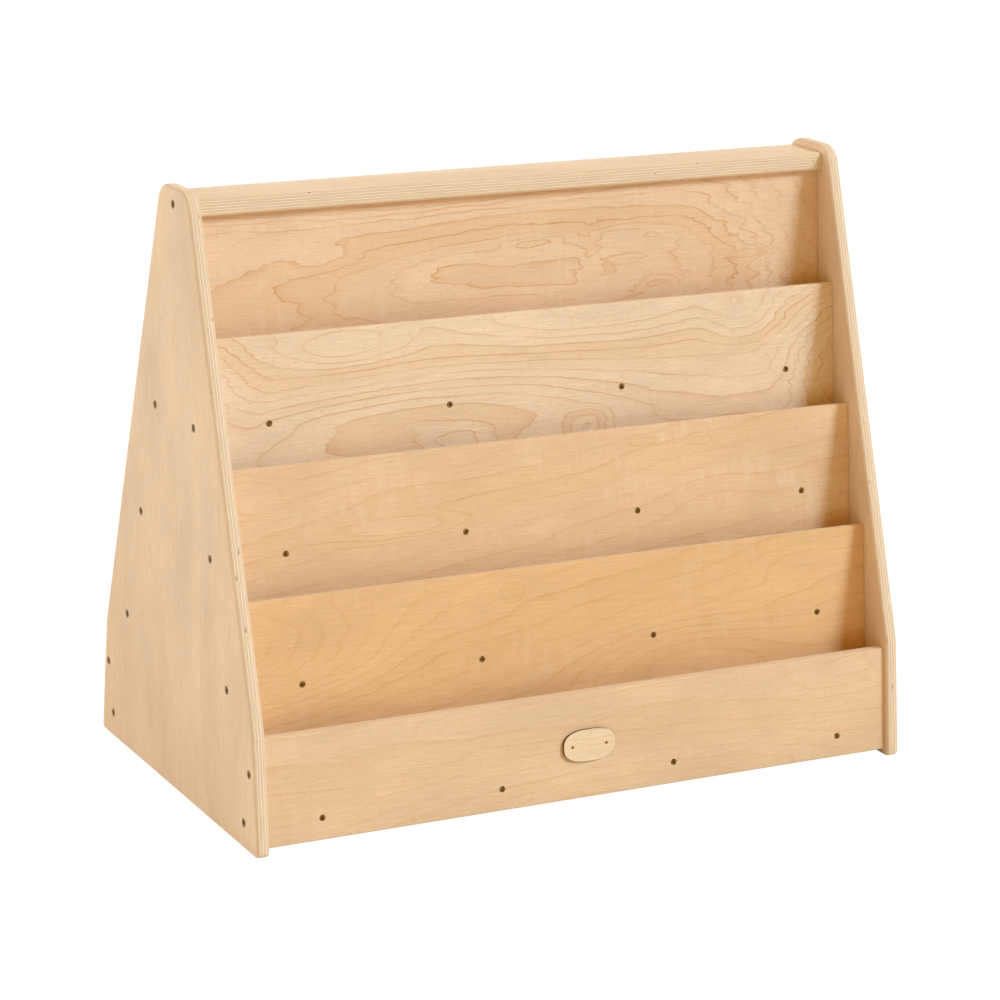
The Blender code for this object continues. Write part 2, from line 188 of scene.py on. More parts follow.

# Growth-ring figure of each board: ring spacing in mm, how far the rings lean, wander and wrinkle, how strong
# their lines and the pale cross-grain painted sheen are, and its eyes and flames as (mm along, mm across,
# half length, half height, rings).
FIGURES = {
    "top_panel": dict(
        ring=60, lean=0.0, wander=0.6, wrinkle=1.8, line=1.0, painted_sheen=0.36, seed=3.0,
        eyes=[(30, -92, 460, 92, 4.2), (-180, 12, 560, 44, -4.6), (430, -70, 230, 420, -5.4),
              (157, -64, 92, 26, 1.4), (15, -62, 62, 13, 1.6), (-95, -84, 90, 24, 0.9),
              (-235, -62, 60, 24, -1.1), (-300, -118, 90, 30, -0.9), (170, -62, 20, 8, 1.0),
              (137, -88, 34, 9, 1.3), (165, -118, 36, 14, -1.6), (297, -94, 30, 12, 1.5),
              (-20, -124, 130, 22, -1.4), (85, -80, 24, 60, -0.9)],
    ),
    "tier_panel_1": dict(
        ring=22, lean=0.0, wander=0.8, wrinkle=0.8, line=0.85, painted_sheen=0.12, seed=11.0,
        eyes=[(-235, -22, 120, 34, -2.4), (-440, -40, 130, 110, 5.0), (-130, -105, 380, 70, 4.2),
              (90, -10, 240, 50, -2.6), (410, -70, 130, 120, 6.0), (-95, -142, 80, 34, 2.4),
              (62, -136, 44, 30, 3.0), (262, -24, 70, 56, -2.2)],
    ),
    "tier_panel_2": dict(
        ring=22, lean=0.14, wander=1.0, wrinkle=1.1, line=0.52, painted_sheen=0.46, seed=23.0,
        eyes=[(-180, -82, 130, 22, -2.6), (-370, -20, 70, 34, 2.0), (110, -16, 34, 9, 1.2),
              (0, -20, 26, 8, 1.0), (200, -80, 110, 50, 1.2), (190, -22, 30, 9, 1.1)],
    ),
    "tier_panel_3": dict(
        ring=24, lean=0.20, wander=0.7, wrinkle=0.7, line=0.62, painted_sheen=0.18, seed=37.0,
        eyes=[(-405, -65, 270, 90, -5.6), (140, -128, 190, 62, 3.4), (-70, -20, 30, 22, 1.6),
              (300, -30, 110, 30, 1.2)],
    ),
    "kick_panel": dict(
        ring=32, lean=0.0, wander=0.9, wrinkle=0.9, line=0.40, painted_sheen=0.18, seed=41.0,
        eyes=[(20, -130, 430, 110, 3.6), (-125, -55, 30, 14, 0.8), (330, -20, 120, 40, -1.6)],
    ),
    "side": dict(
        ring=26, lean=0.0, wander=1.6, wrinkle=0.8, line=0.22, painted_sheen=0.08, seed=53.0,
        eyes=[(60, -228, 330, 110, 4.0), (-200, -330, 200, 70, 3.0), (-260, -120, 160, 60, 2.0)],
    ),
    "rail": dict(
        ring=18, lean=0.0, wander=1.0, wrinkle=0.7, line=0.30, painted_sheen=0.10, seed=61.0,
        eyes=[],
    ),
    "floor": dict(
        ring=12, lean=0.0, wander=1.0, wrinkle=0.8, line=0.36, painted_sheen=0.12, seed=71.0,
        eyes=[],
    ),
    "plaque": dict(
        ring=9, lean=0.0, wander=0.8, wrinkle=0.7, line=0.16, painted_sheen=0.08, seed=83.0,
        eyes=[],
    ),
}


def linear(code):
    """Linear colour of an sRGB hex code."""
    parts = [int(code[i:i + 2], 16) / 255 for i in (1, 3, 5)]
    return [p / 12.92 if p <= 0.04045 else ((p + 0.055) / 1.055) ** 2.4 for p in parts]


def add(tree, kind, inputs=None, **settings):
    """Adds a shader node with its settings; an input is a value, or an output that is linked to it."""
    node = tree.nodes.new("ShaderNode" + kind)
    for name, value in settings.items():
        setattr(node, name, value)
    for name, value in (inputs or {}).items():
        if isinstance(value, bpy.types.NodeSocket):
            tree.links.new(value, node.inputs[name])
        else:
            node.inputs[name].default_value = value
    return node.outputs


def new_material(name):
    """An empty node material and its tree."""
    made = bpy.data.materials.new(name)
    made.use_nodes = True
    made.node_tree.nodes.clear()
    return made, made.node_tree


def board_axes(node, outward, grain):
    """Origin, turn and thickness of a board: X along its grain, Y into it from its face, Z across."""
    mesh = frame["nodes"][node].data
    face = max((p for p in mesh.polygons if p.normal.dot(outward) > FACING), key=lambda p: p.area)
    inward = -face.normal
    across = grain.cross(inward)
    points = [v.co for v in mesh.vertices]
    depth = face.center.dot(inward)
    ends = [p.dot(grain) for p in points]
    upper = max(p.dot(across) for p in points)
    origin = grain * (min(ends) + max(ends)) / 2 + inward * depth + across * upper
    thickness = max(p.dot(inward) for p in points) - depth
    return origin, Matrix((grain, inward, across)).transposed(), thickness


def birch_ply(name, axes, colour, figure, plies, scorched=False):
    """Birch plywood under clear lacquer.

    Rotary-cut face veneer shows thin honey-brown ring lines in cathedrals and flames on a pale satin ground
    with pale cross-grain patches of painted sheen, and its sawn edges show cream and tan plies with thin glue
    lines and a few voids in dark painted shade. A scorched board was cut out by heat, and its edge is brown.
    """
    tints = bpy.context.scene.bookcase_tints
    grain = bpy.context.scene.bookcase_grain
    origin, turn, thickness = axes
    deep = thickness / MM
    ply = deep / plies
    skin = ply * SKIN_SHARE
    seed = figure["seed"]
    made, tree = new_material(name)

    # Place on the board in mm: along the grain, into the board and across the grain, and the sheet there.
    place = add(tree, "TexCoord")["Object"]
    inputs = {"Vector": place, "Location": origin, "Rotation": turn.to_euler(), "Scale": (MM, MM, MM)}
    place = add(tree, "Mapping", inputs, vector_type="TEXTURE")[0]
    along, depth, across = add(tree, "SeparateXYZ", {0: place})
    depth = add(tree, "Clamp", {"Value": depth, "Min": skin, "Max": deep - skin})[0]
    layer = add(tree, "Math", {0: depth, 1: ply}, operation="DIVIDE")[0]
    sheet = add(tree, "Math", {0: layer}, operation="FLOOR")[0]
    flat = add(tree, "CombineXYZ", {"X": along, "Y": sheet, "Z": across})[0]

    pattern = {}
    for i, (word, (length, width, detail, rough)) in enumerate(PATTERNS.items()):
        shift = (seed + SHIFT_ALONG * i, 0.0, seed * SEED_ACROSS + SHIFT_ACROSS * i)
        inputs = {"Vector": flat, "Location": shift, "Scale": (1 / length, SHEET_STEP, 1 / width)}
        spot = add(tree, "Mapping", inputs)[0]
        inputs = {"Vector": spot, "Scale": 1.0, "Detail": detail, "Roughness": rough}
        pattern[word] = add(tree, "TexNoise", inputs)

    # Rings: a slope across the board, bent by the wander and by each eye, with the whole drawing wrinkled.
    inputs = {0: pattern["warp"]["Color"], 1: (0.5, 0.5, 0.5)}
    wrinkle = add(tree, "VectorMath", inputs, operation="SUBTRACT")[0]
    reach = Vector((grain.wrinkle_along, 0.0, grain.wrinkle_across)) * (figure["wrinkle"] / MM)
    bent = add(tree, "VectorMath", {0: wrinkle, 1: reach, 2: flat}, operation="MULTIPLY_ADD")[0]
    slope = (figure["lean"] / figure["ring"], 0.0, -1 / figure["ring"])
    rings = add(tree, "VectorMath", {0: bent, 1: slope}, operation="DOT_PRODUCT")["Value"]
    spread = 2 * figure["wander"]
    rings = add(tree, "Math", {0: pattern["wander"][0], 1: spread, 2: rings}, operation="MULTIPLY_ADD")[0]
    for x, z, half_length, half_height, rise in figure["eyes"]:
        inputs = {"Vector": bent, "Location": (x, 0, z), "Scale": (half_length, EVERY_SHEET, half_height)}
        away = add(tree, "Mapping", inputs, vector_type="TEXTURE")[0]
        away = add(tree, "VectorMath", {0: away}, operation="LENGTH")["Value"]
        inputs = {"Value": away, "From Min": 0.0, "From Max": 1.0, "To Min": rise, "To Max": 0.0}
        eye = add(tree, "MapRange", inputs, interpolation_type="SMOOTHSTEP")[0]
        rings = add(tree, "Math", {0: rings, 1: eye}, operation="ADD")[0]
    part = add(tree, "Math", {0: rings}, operation="FRACT")[0]
    number = add(tree, "Math", {0: rings}, operation="FLOOR")[0]
    chance = add(tree, "TexWhiteNoise", {"W": number}, noise_dimensions="1D")

    # The share of a ring that one line's width covers here: the rings, read as a height, tilt the surface,
    # and the tangent of the tilt is their slope. The least share keeps a place without slope from turning
    # into one line.
    upright = add(tree, "NewGeometry")["Normal"]
    tilted = add(tree, "Bump", {"Strength": 1.0, "Distance": grain.line, "Height": rings})[0]
    cosine = add(tree, "VectorMath", {0: tilted, 1: upright}, operation="DOT_PRODUCT")["Value"]
    tilt = add(tree, "Math", {0: cosine}, operation="ARCCOSINE")[0]
    cover = add(tree, "Math", {0: tilt}, operation="TANGENT")[0]
    cover = add(tree, "Math", {0: cover, 1: LEAST_COVER}, operation="MAXIMUM")[0]

    # A ring line is a thin stroke of even width, and fades into the next ring on one side.
    fade = add(tree, "MapRange", {"Value": part, **RAMPS["ring_fade"]})[0]
    fade = add(tree, "Math", {0: fade, 1: FADE_POWER}, operation="POWER")[0]
    fade = add(tree, "Math", {0: fade, 1: FADE_SHARE}, operation="MULTIPLY")[0]
    nearest = add(tree, "Math", {0: part, 1: 0.5}, operation="SUBTRACT")[0]
    nearest = add(tree, "Math", {0: nearest}, operation="ABSOLUTE")[0]
    nearest = add(tree, "Math", {0: 0.5, 1: nearest}, operation="SUBTRACT")[0]
    widths = add(tree, "Math", {0: nearest, 1: cover}, operation="DIVIDE")[0]
    stroke = add(tree, "MapRange", {"Value": widths, **RAMPS["stroke"]})[0]
    line = add(tree, "Math", {0: fade, 1: stroke}, operation="MAXIMUM")[0]
    strength = add(tree, "MapRange", {"Value": chance["Value"], **RAMPS["ring_strength"]})[0]
    line = add(tree, "Math", {0: line, 1: strength}, operation="MULTIPLY")[0]
    limits = {"To Min": WEAKEST_LINE * figure["line"], "To Max": figure["line"]}
    strength = add(tree, "MapRange", {"Value": pattern["fade"][0], **RAMPS["line_fade"], **limits})[0]
    line = add(tree, "Math", {0: line, 1: strength}, operation="MULTIPLY")[0]

    # Face veneer: tone clouds and fibres on the board's own colour, then warm zones, ring lines, pores, pale
    # patches of painted sheen and flecks.
    inputs = {0: pattern["tone"][0], 1: TONE_SWING, 2: TONE_BASE}
    shade = add(tree, "Math", inputs, operation="MULTIPLY_ADD")[0]
    inputs = {0: pattern["fibre"][0], 1: FIBRE_SWING, 2: shade}
    shade = add(tree, "Math", inputs, operation="MULTIPLY_ADD")[0]
    face = add(tree, "VectorMath", {0: colour, "Scale": shade}, operation="SCALE")[0]
    limits = {"To Min": 0.0, "To Max": WARM_SHARE * figure["line"]}
    zone = add(tree, "MapRange", {"Value": chance["Color"], **RAMPS["warm_zone"], **limits})[0]
    pore = add(tree, "MapRange", {"Value": pattern["pore"][0], **RAMPS["pore"]})[0]
    # Pale cross-grain patches of painted sheen, as strong as the board's figure gives.
    painted_sheen_share = add(tree, "MapRange", {"Value": pattern["painted_sheen"][0], **RAMPS["painted_sheen"]})[0]
    limits = {"To Min": 0.0, "To Max": figure["painted_sheen"]}
    patch = add(tree, "MapRange", {"Value": pattern["patch"][0], **RAMPS["patch"], **limits})[0]
    painted_sheen_share = add(tree, "Math", {0: painted_sheen_share, 1: patch}, operation="MULTIPLY")[0]
    fleck = add(tree, "MapRange", {"Value": pattern["fleck"][0], **RAMPS["fleck"]})[0]
    coats = [(zone, tints.warm), (line, tints.ring_line), (pore, tints.warm), (painted_sheen_share, tints.painted_sheen),
             (fleck, tints.glue)]
    for share, tint in coats:
        face = add(tree, "Mix", {0: share, 6: face, 7: (*tint, 1)}, data_type="RGBA")[2]

    # Sawn edge: plies in turn show long fibres and end grain, between thin glue lines, with a few voids in
    # painted shade.
    inputs = {"Vector": place, "Location": (seed, seed, seed), "Scale": [1 / size for size in STREAK]}
    spot = add(tree, "Mapping", inputs)[0]
    streak = add(tree, "TexNoise", {"Vector": spot, "Scale": 1.0, "Detail": 2.0})[0]
    shade = add(tree, "Math", {0: streak, 1: STREAK_SWING, 2: STREAK_BASE}, operation="MULTIPLY_ADD")[0]
    if scorched:
        on_face = add(tree, "MapRange", {"Value": depth, **RAMPS["scorch"]})[0]
        edge = add(tree, "VectorMath", {0: tints.scorch, "Scale": shade}, operation="SCALE")[0]
    else:
        middle = add(tree, "Math", {0: depth, 1: deep / 2}, operation="SUBTRACT")[0]
        middle = add(tree, "Math", {0: middle}, operation="ABSOLUTE")[0]
        on_face = add(tree, "Math", {0: middle, 1: deep / 2 - ply}, operation="GREATER_THAN")[0]
        end_grain = add(tree, "Math", {0: sheet, 1: 2.0}, operation="MODULO")[0]
        inputs = {0: end_grain, 6: (*tints.long_ply, 1), 7: (*tints.end_ply, 1)}
        edge = add(tree, "Mix", inputs, data_type="RGBA")[2]
        edge = add(tree, "VectorMath", {0: edge, "Scale": shade}, operation="SCALE")[0]
        seam = add(tree, "Math", {0: layer}, operation="FRACT")[0]
        seam = add(tree, "Math", {0: seam, 1: 0.5}, operation="SUBTRACT")[0]
        seam = add(tree, "Math", {0: seam}, operation="ABSOLUTE")[0]
        half_glue = grain.glue_line / MM / ply / 2
        ends = (0.5 - 2 * half_glue, 0.5 - half_glue, 0.0, GLUE_SHARE)
        glue = add(tree, "MapRange", {"Value": seam, **dict(zip(RAMP_ENDS, ends))})[0]
        # Voids: dark painted shade in small gaps in the core plies, which are not modelled.
        inputs = {"Vector": place, "Location": (seed * 2, seed, seed), "Scale": (1 / VOID_SHADE_SIZE, 1 / ply, 1 / VOID_SHADE_SIZE)}
        spot = add(tree, "Mapping", inputs)[0]
        void_shade_share = add(tree, "TexNoise", {"Vector": spot, "Scale": 1.0, "Detail": 0.0})[0]
        void_shade_share = add(tree, "MapRange", {"Value": void_shade_share, **RAMPS["void"]})[0]
        for share, tint in ((glue, tints.glue), (void_shade_share, tints.void)):
            edge = add(tree, "Mix", {0: share, 6: edge, 7: (*tint, 1)}, data_type="RGBA")[2]
    surface = add(tree, "Mix", {0: on_face, 6: edge, 7: face}, data_type="RGBA")[2]

    # Thin clear lacquer: satin, with the fibres' relief just left.
    rough = add(tree, "MapRange", {"Value": pattern["fibre"][0], **RAMPS["lacquer_roughness"]})[0]
    bump = add(tree, "Bump", {"Strength": 0.25, "Distance": FIBRE_RELIEF, "Height": pattern["fibre"][0]})[0]
    lacquer = {"Roughness": rough, "IOR": 1.5, "Specular IOR Level": 0.08, "Normal": bump}
    shader = add(tree, "BsdfPrincipled", {"Base Color": surface, **lacquer})[0]
    add(tree, "OutputMaterial", {"Surface": shader})
    return made


def bronzed_brass():
    """Bronzed brass: a dark brown film on the metal, which shows brighter where the film is rubbed."""
    tints = bpy.context.scene.bookcase_tints
    made, tree = new_material("bronzed_brass")
    place = add(tree, "TexCoord")["Object"]
    wear = add(tree, "TexNoise", {"Vector": place, "Scale": 1 / (WEAR * MM), "Detail": 3.0})[0]
    worn = add(tree, "MapRange", {"Value": wear, **RAMPS["worn"]})[0]
    inputs = {0: worn, 6: (*tints.screw, 1), 7: (*tints.screw_worn, 1)}
    colour = add(tree, "Mix", inputs, data_type="RGBA")[2]
    rough = add(tree, "MapRange", {"Value": wear, **RAMPS["film_roughness"]})[0]
    bump = add(tree, "Bump", {"Strength": 0.2, "Distance": WEAR_RELIEF, "Height": wear})[0]
    inputs = {"Base Color": colour, "Metallic": 1.0, "Roughness": rough, "Normal": bump}
    shader = add(tree, "BsdfPrincipled", inputs)[0]
    add(tree, "OutputMaterial", {"Surface": shader})
    return made


def studio_paper():
    """Matt white paper floor: white to the camera and in reflections, with the bookcase's shadow kept."""
    stage = bpy.context.scene.bookcase_stage
    made, tree = new_material("studio_paper")
    path = add(tree, "LightPath")
    seen = add(tree, "Math", {0: path["Is Camera Ray"], 1: path["Is Glossy Ray"]}, operation="MAXIMUM")[0]
    seen = add(tree, "Math", {0: seen, 1: path["Is Transmission Ray"]}, operation="MAXIMUM")[0]
    share = add(tree, "Math", {0: seen, 1: stage.floor_glow}, operation="MULTIPLY")[0]
    place = add(tree, "TexCoord")["Object"]
    tooth = add(tree, "TexNoise", {"Vector": place, "Scale": 1 / (TOOTH * MM), "Detail": 2.0})[0]
    bump = add(tree, "Bump", {"Strength": 0.05, "Distance": TOOTH_RELIEF, "Height": tooth})[0]
    paper = add(tree, "BsdfDiffuse", {"Color": (*stage.floor_colour, 1), "Normal": bump})[0]
    glow = add(tree, "Emission", {"Color": WHITE, "Strength": stage.white})[0]
    shader = add(tree, "MixShader", {0: share, 1: paper, 2: glow})[0]
    add(tree, "OutputMaterial", {"Surface": shader})
    return made


def white_studio_world():
    """Soft warm studio air that the camera and reflections see as white."""
    stage = bpy.context.scene.bookcase_stage
    world = bpy.data.worlds.new("white_studio")
    world.use_nodes = True
    tree = world.node_tree
    tree.nodes.clear()
    path = add(tree, "LightPath")
    seen = add(tree, "Math", {0: path["Is Camera Ray"], 1: path["Is Glossy Ray"]}, operation="MAXIMUM")[0]
    seen = add(tree, "Math", {0: seen, 1: path["Is Transmission Ray"]}, operation="MAXIMUM")[0]
    air = add(tree, "Background", {"Color": (*stage.air_colour, 1), "Strength": stage.air_strength})[0]
    white = add(tree, "Background", {"Color": WHITE, "Strength": 1.0})[0]
    shader = add(tree, "MixShader", {0: seen, 1: air, 2: white})[0]
    add(tree, "OutputWorld", {"Surface": shader})
    return world


def pick(kind, test):
    """In edit mode, selects only the faces or edges that pass a test."""
    bpy.ops.mesh.select_mode(type=kind)
    bpy.ops.mesh.select_all(action="DESELECT")
    bm = bmesh.from_edit_mesh(bpy.context.edit_object.data)
    found = [item for item in (bm.faces if kind == "FACE" else bm.edges) if test(item)]
    if not found:
        raise RuntimeError(f"nothing to select on {bpy.context.edit_object.name}")
    for item in found:
        item.select_set(True)
    bm.select_flush_mode()
    bmesh.update_edit_mesh(bpy.context.edit_object.data)


def start_piece(name, mesh):
    """Links a piece and makes it the active object and the only selected one."""
    piece = bpy.data.objects.new(name, mesh)
    bpy.context.scene.collection.objects.link(piece)
    bpy.ops.object.select_all(action="DESELECT")
    piece.select_set(True)
    bpy.context.view_layer.objects.active = piece
    return piece


def finish_piece(piece, finish, slot, *nodes):
    """Gives a piece its finish and its body, and hides the nodes that it stands for. The slot is not used."""
    piece.data.materials.clear()
    piece.data.materials.append(finish)
    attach(piece, "root")
    if nodes:
        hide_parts(*nodes)


def board_copy(node):
    """A copy of a packed board, merged and cleared of flat seams, with smooth arrises."""
    board = start_piece(f"{node}_board", frame["nodes"][node].data.copy())
    bpy.ops.object.mode_set(mode="EDIT")
    bpy.ops.mesh.select_all(action="SELECT")
    bpy.ops.mesh.customdata_custom_splitnormals_clear()
    bpy.ops.mesh.remove_doubles(threshold=bpy.context.scene.bookcase_grain.merge)
    bpy.ops.mesh.dissolve_limited(angle_limit=SEAM_ANGLE)
    bpy.ops.object.mode_set(mode="OBJECT")
    bpy.ops.object.shade_smooth_by_angle(angle=BOARD_SMOOTH)
    return board


def dress(node, outward, grain, colour, figure, plies, slot):
    """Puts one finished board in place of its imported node."""
    finish = birch_ply(f"birch_ply_{node}", board_axes(node, outward, grain), colour, figure, plies)
    finish_piece(board_copy(node), finish, slot, node)


def other_side(figure, step):
    """The same kind of figure on another sheet of veneer: its eyes swap ends, and its noise is another."""
    eyes = [(-x * FAR_SHARE, z - FAR_DROP, half_length * FAR_STRETCH, half_height, rise)
            for x, z, half_length, half_height, rise in figure["eyes"]]
    return {**figure, "seed": figure["seed"] + step, "eyes": eyes}


class BookcaseTints(bpy.types.PropertyGroup):
    """Colours of the veneers, plies and screws."""

    side: FloatVectorProperty(
        name="Sides", description="Face veneer of the side panels", subtype="COLOR",
        default=linear("#E6CCAE"))
    rail: FloatVectorProperty(
        name="Rail", description="Face veneer of the top rail", subtype="COLOR", default=linear("#ECD4B6"))
    top_panel: FloatVectorProperty(
        name="Top panels", description="Face veneer of the top panels", subtype="COLOR",
        default=linear("#EACAA8"))
    tier_panel_1: FloatVectorProperty(
        name="Upper tiers", description="Face veneer of the uppermost tier panels", subtype="COLOR",
        default=linear("#ECD3B5"))
    tier_panel_2: FloatVectorProperty(
        name="Middle tiers", description="Face veneer of the middle tier panels", subtype="COLOR",
        default=linear("#E8C59D"))
    tier_panel_3: FloatVectorProperty(
        name="Lower tiers", description="Face veneer of the lowest tier panels", subtype="COLOR",
        default=linear("#E7BC8B"))
    kick_panel: FloatVectorProperty(
        name="Kick panels", description="Face veneer of the kick panels", subtype="COLOR",
        default=linear("#E6C7A2"))
    floor: FloatVectorProperty(
        name="Floors", description="Face veneer of the pocket floors", subtype="COLOR",
        default=linear("#E2BE90"))
    plaque: FloatVectorProperty(
        name="Plaque", description="Face of the plaque", subtype="COLOR", default=linear("#EED6B4"))
    ring_line: FloatVectorProperty(
        name="Ring lines", description="Growth-ring lines on the veneer", subtype="COLOR",
        default=linear("#CE9250"))
    warm: FloatVectorProperty(
        name="Warm zones", description="Darker zones between ring lines", subtype="COLOR",
        default=linear("#DDAE74"))
    # Pale patches of painted sheen across the grain.
    painted_sheen: FloatVectorProperty(
        name="Shimmer", description="Pale cross-grain shimmer", subtype="COLOR", default=linear("#F4DFC0"))
    long_ply: FloatVectorProperty(
        name="Long plies", description="Plies that show long fibres at an edge", subtype="COLOR",
        default=linear("#F6E4CB"))
    end_ply: FloatVectorProperty(
        name="End plies", description="Plies that show end grain at an edge", subtype="COLOR",
        default=linear("#E9CFAC"))
    glue: FloatVectorProperty(
        name="Glue lines", description="Glue lines and bark flecks", subtype="COLOR",
        default=linear("#B07E45"))
    # Dark painted shade of small gaps in the core plies.
    void: FloatVectorProperty(
        name="Voids", description="Small gaps in the core plies", subtype="COLOR", default=linear("#5E3B1A"))
    scorch: FloatVectorProperty(
        name="Scorched edge", description="Heat-cut edge of the plaque", subtype="COLOR",
        default=linear("#5A3416"))
    screw: FloatVectorProperty(
        name="Screws", description="Dark bronzed film", subtype="COLOR", default=linear("#4E3116"))
    screw_worn: FloatVectorProperty(
        name="Worn screws", description="Brass where the film is rubbed", subtype="COLOR",
        default=linear("#C2934F"))


class BookcaseGrain(bpy.types.PropertyGroup):
    """Widths of the drawn grain, and how many plies each kind of board has."""

    wrinkle_along: FloatProperty(
        name="Wrinkle along", description="How far ring lines wrinkle along the grain", unit="LENGTH",
        default=0.030)
    wrinkle_across: FloatProperty(
        name="Wrinkle across", description="How far ring lines wrinkle across the grain", unit="LENGTH",
        default=0.005)
    line: FloatProperty(
        name="Ring line", description="Width of a ring line's thin stroke", unit="LENGTH", default=0.0010)
    glue_line: FloatProperty(
        name="Glue line", description="Drawn width of a glue line; a real one is too thin to show",
        unit="LENGTH", default=0.0003)
    merge: FloatProperty(
        name="Merge distance", description="Corners this close are one corner", unit="LENGTH",
        default=0.000005)
    rail_plies: IntProperty(name="Rail plies", description="Plies in the 20 mm rail", default=13)
    thick_plies: IntProperty(name="Thick plies", description="Plies in a 15 mm board", default=9)
    thin_plies: IntProperty(name="Thin plies", description="Plies in a 9 mm board", default=7)
    plaque_plies: IntProperty(name="Plaque plies", description="Plies in the plaque", default=3)


class BookcaseScrews(bpy.types.PropertyGroup):
    """Sizes of the modelled screw, which is scaled to each packed one."""

    head: FloatProperty(name="Head", description="Head diameter", unit="LENGTH", default=0.0070)
    rim: FloatProperty(name="Rim", description="Height of the head's rim", unit="LENGTH", default=0.0004)
    shank: FloatProperty(name="Shank", description="Shank diameter", unit="LENGTH", default=0.0030)
    thread: FloatProperty(name="Thread", description="Thread diameter", unit="LENGTH", default=0.0036)
    pitch: FloatProperty(name="Pitch", description="Distance between threads", unit="LENGTH", default=0.0020)
    threads: IntProperty(name="Threads", description="Number of threads", default=12)
    length: FloatProperty(name="Length", description="Length before scaling", unit="LENGTH", default=0.035)
    recess_span: FloatProperty(
        name="Recess span", description="Span of the cross recess", unit="LENGTH", default=0.0044)
    recess_slot: FloatProperty(
        name="Recess slot", description="Slot width of the recess", unit="LENGTH", default=0.0011)
    recess_depth: FloatProperty(
        name="Recess depth", description="Depth of the recess", unit="LENGTH", default=0.0016)


class BookcasePlaque(bpy.types.PropertyGroup):
    """Sizes of the plaque's rim and pins."""

    rim: FloatProperty(name="Rim", description="Rounding of the plaque's rim", unit="LENGTH", default=0.0005)
    pin: FloatProperty(name="Pin", description="Diameter of a pin head", unit="LENGTH", default=0.0034)
    pin_crown: FloatProperty(
        name="Pin crown", description="Height of a pin head", unit="LENGTH", default=0.0009)
    pin_spread: FloatProperty(
        name="Pin spread", description="Distance between the pins", unit="LENGTH", default=0.042)


class BookcaseStage(bpy.types.PropertyGroup):
    """Floor, air, lamps and lens."""

    floor_colour: FloatVectorProperty(
        name="Floor", description="Paper of the floor", subtype="COLOR", default=linear("#EFEDE8"))
    floor_glow: FloatProperty(
        name="Floor white", description="Share of pure white in the seen floor", subtype="FACTOR",
        default=0.86)
    white: FloatProperty(name="White", description="Strength of the seen floor's white", default=1.16)
    air_colour: FloatVectorProperty(
        name="Air", description="Colour of the studio's soft light", subtype="COLOR",
        default=linear("#FFC850"))
    air_strength: FloatProperty(name="Air strength", description="Strength of the soft light", default=0.52)
    lamp_colour: FloatVectorProperty(
        name="Lamp colour", description="Colour of the lamps", subtype="COLOR", default=linear("#CCE6FF"))
    key_strength: FloatProperty(
        name="Key", description="Light from the front right, W per square metre", default=2.85)
    key_angle: FloatProperty(
        name="Key angle", description="How wide the key light looks", subtype="ANGLE",
        default=math.radians(20))
    side_strength: FloatProperty(name="Side", description="Light on the left side", default=2.50)
    side_angle: FloatProperty(
        name="Side angle", description="How wide the side light looks", subtype="ANGLE",
        default=math.radians(42))
    back_strength: FloatProperty(name="Back", description="Light on the rear", default=1.1)
    top_strength: FloatProperty(name="Top", description="Light from above", default=0.45)
    fill_angle: FloatProperty(
        name="Fill angle", description="How wide the other lamps look", subtype="ANGLE",
        default=math.radians(50))
    lens: FloatProperty(name="Lens", description="Camera lens, mm", default=127.61)


class BOOKCASE_OT_sides(bpy.types.Operator):
    """Dresses the two A-frame side panels in vertical-grained birch."""

    bl_idname = "bookcase.sides"
    bl_label = "Side panels"

    def execute(self, context):
        tints = context.scene.bookcase_tints
        plies = context.scene.bookcase_grain.thick_plies
        far = other_side(FIGURES["side"], FAR_SIDE_STEP)
        dress("side_left", -ACROSS, UP, tints.side, FIGURES["side"], plies, "side_panel")
        dress("side_right", ACROSS, UP, tints.side, far, plies, "side_panel")
        return {"FINISHED"}


class BOOKCASE_OT_rail(bpy.types.Operator):
    """Dresses the flat top rail."""

    bl_idname = "bookcase.rail"
    bl_label = "Top rail"

    def execute(self, context):
        tints = context.scene.bookcase_tints
        plies = context.scene.bookcase_grain.rail_plies
        dress("top_rail", UP, ACROSS, tints.rail, FIGURES["rail"], plies, "rail")
        return {"FINISHED"}


class BOOKCASE_OT_panels(bpy.types.Operator):
    """Dresses the leaning boards of both faces, each with a figure of its own."""

    bl_idname = "bookcase.panels"
    bl_label = "Leaning boards"

    def execute(self, context):
        tints = context.scene.bookcase_tints
        grain = context.scene.bookcase_grain
        for kind in ("top_panel", "tier_panel_1", "tier_panel_2", "tier_panel_3", "kick_panel"):
            kick = kind == "kick_panel"
            plies = grain.thick_plies if kick else grain.thin_plies
            slot = "kick_panel" if kick else "tier_panel"
            tint = getattr(tints, kind)
            rear = other_side(FIGURES[kind], REAR_STEP)
            dress(f"front_{kind}", FRONT, ACROSS, tint, FIGURES[kind], plies, slot)
            dress(f"rear_{kind}", -FRONT, -ACROSS, tint, rear, plies, slot)
        return {"FINISHED"}


class BOOKCASE_OT_floors(bpy.types.Operator):
    """Dresses the strips that books stand on."""

    bl_idname = "bookcase.floors"
    bl_label = "Pocket floors"

    def execute(self, context):
        tints = context.scene.bookcase_tints
        plies = context.scene.bookcase_grain.thick_plies
        nodes = sorted(n for n in frame["nodes"] if "_pocket_floor_" in n)
        for i, node in enumerate(nodes):
            figure = {**FIGURES["floor"], "seed": FIGURES["floor"]["seed"] + POCKET_FLOOR_STEP * i}
            dress(node, UP, ACROSS, tints.floor, figure, plies, "pocket_floor")
        return {"FINISHED"}


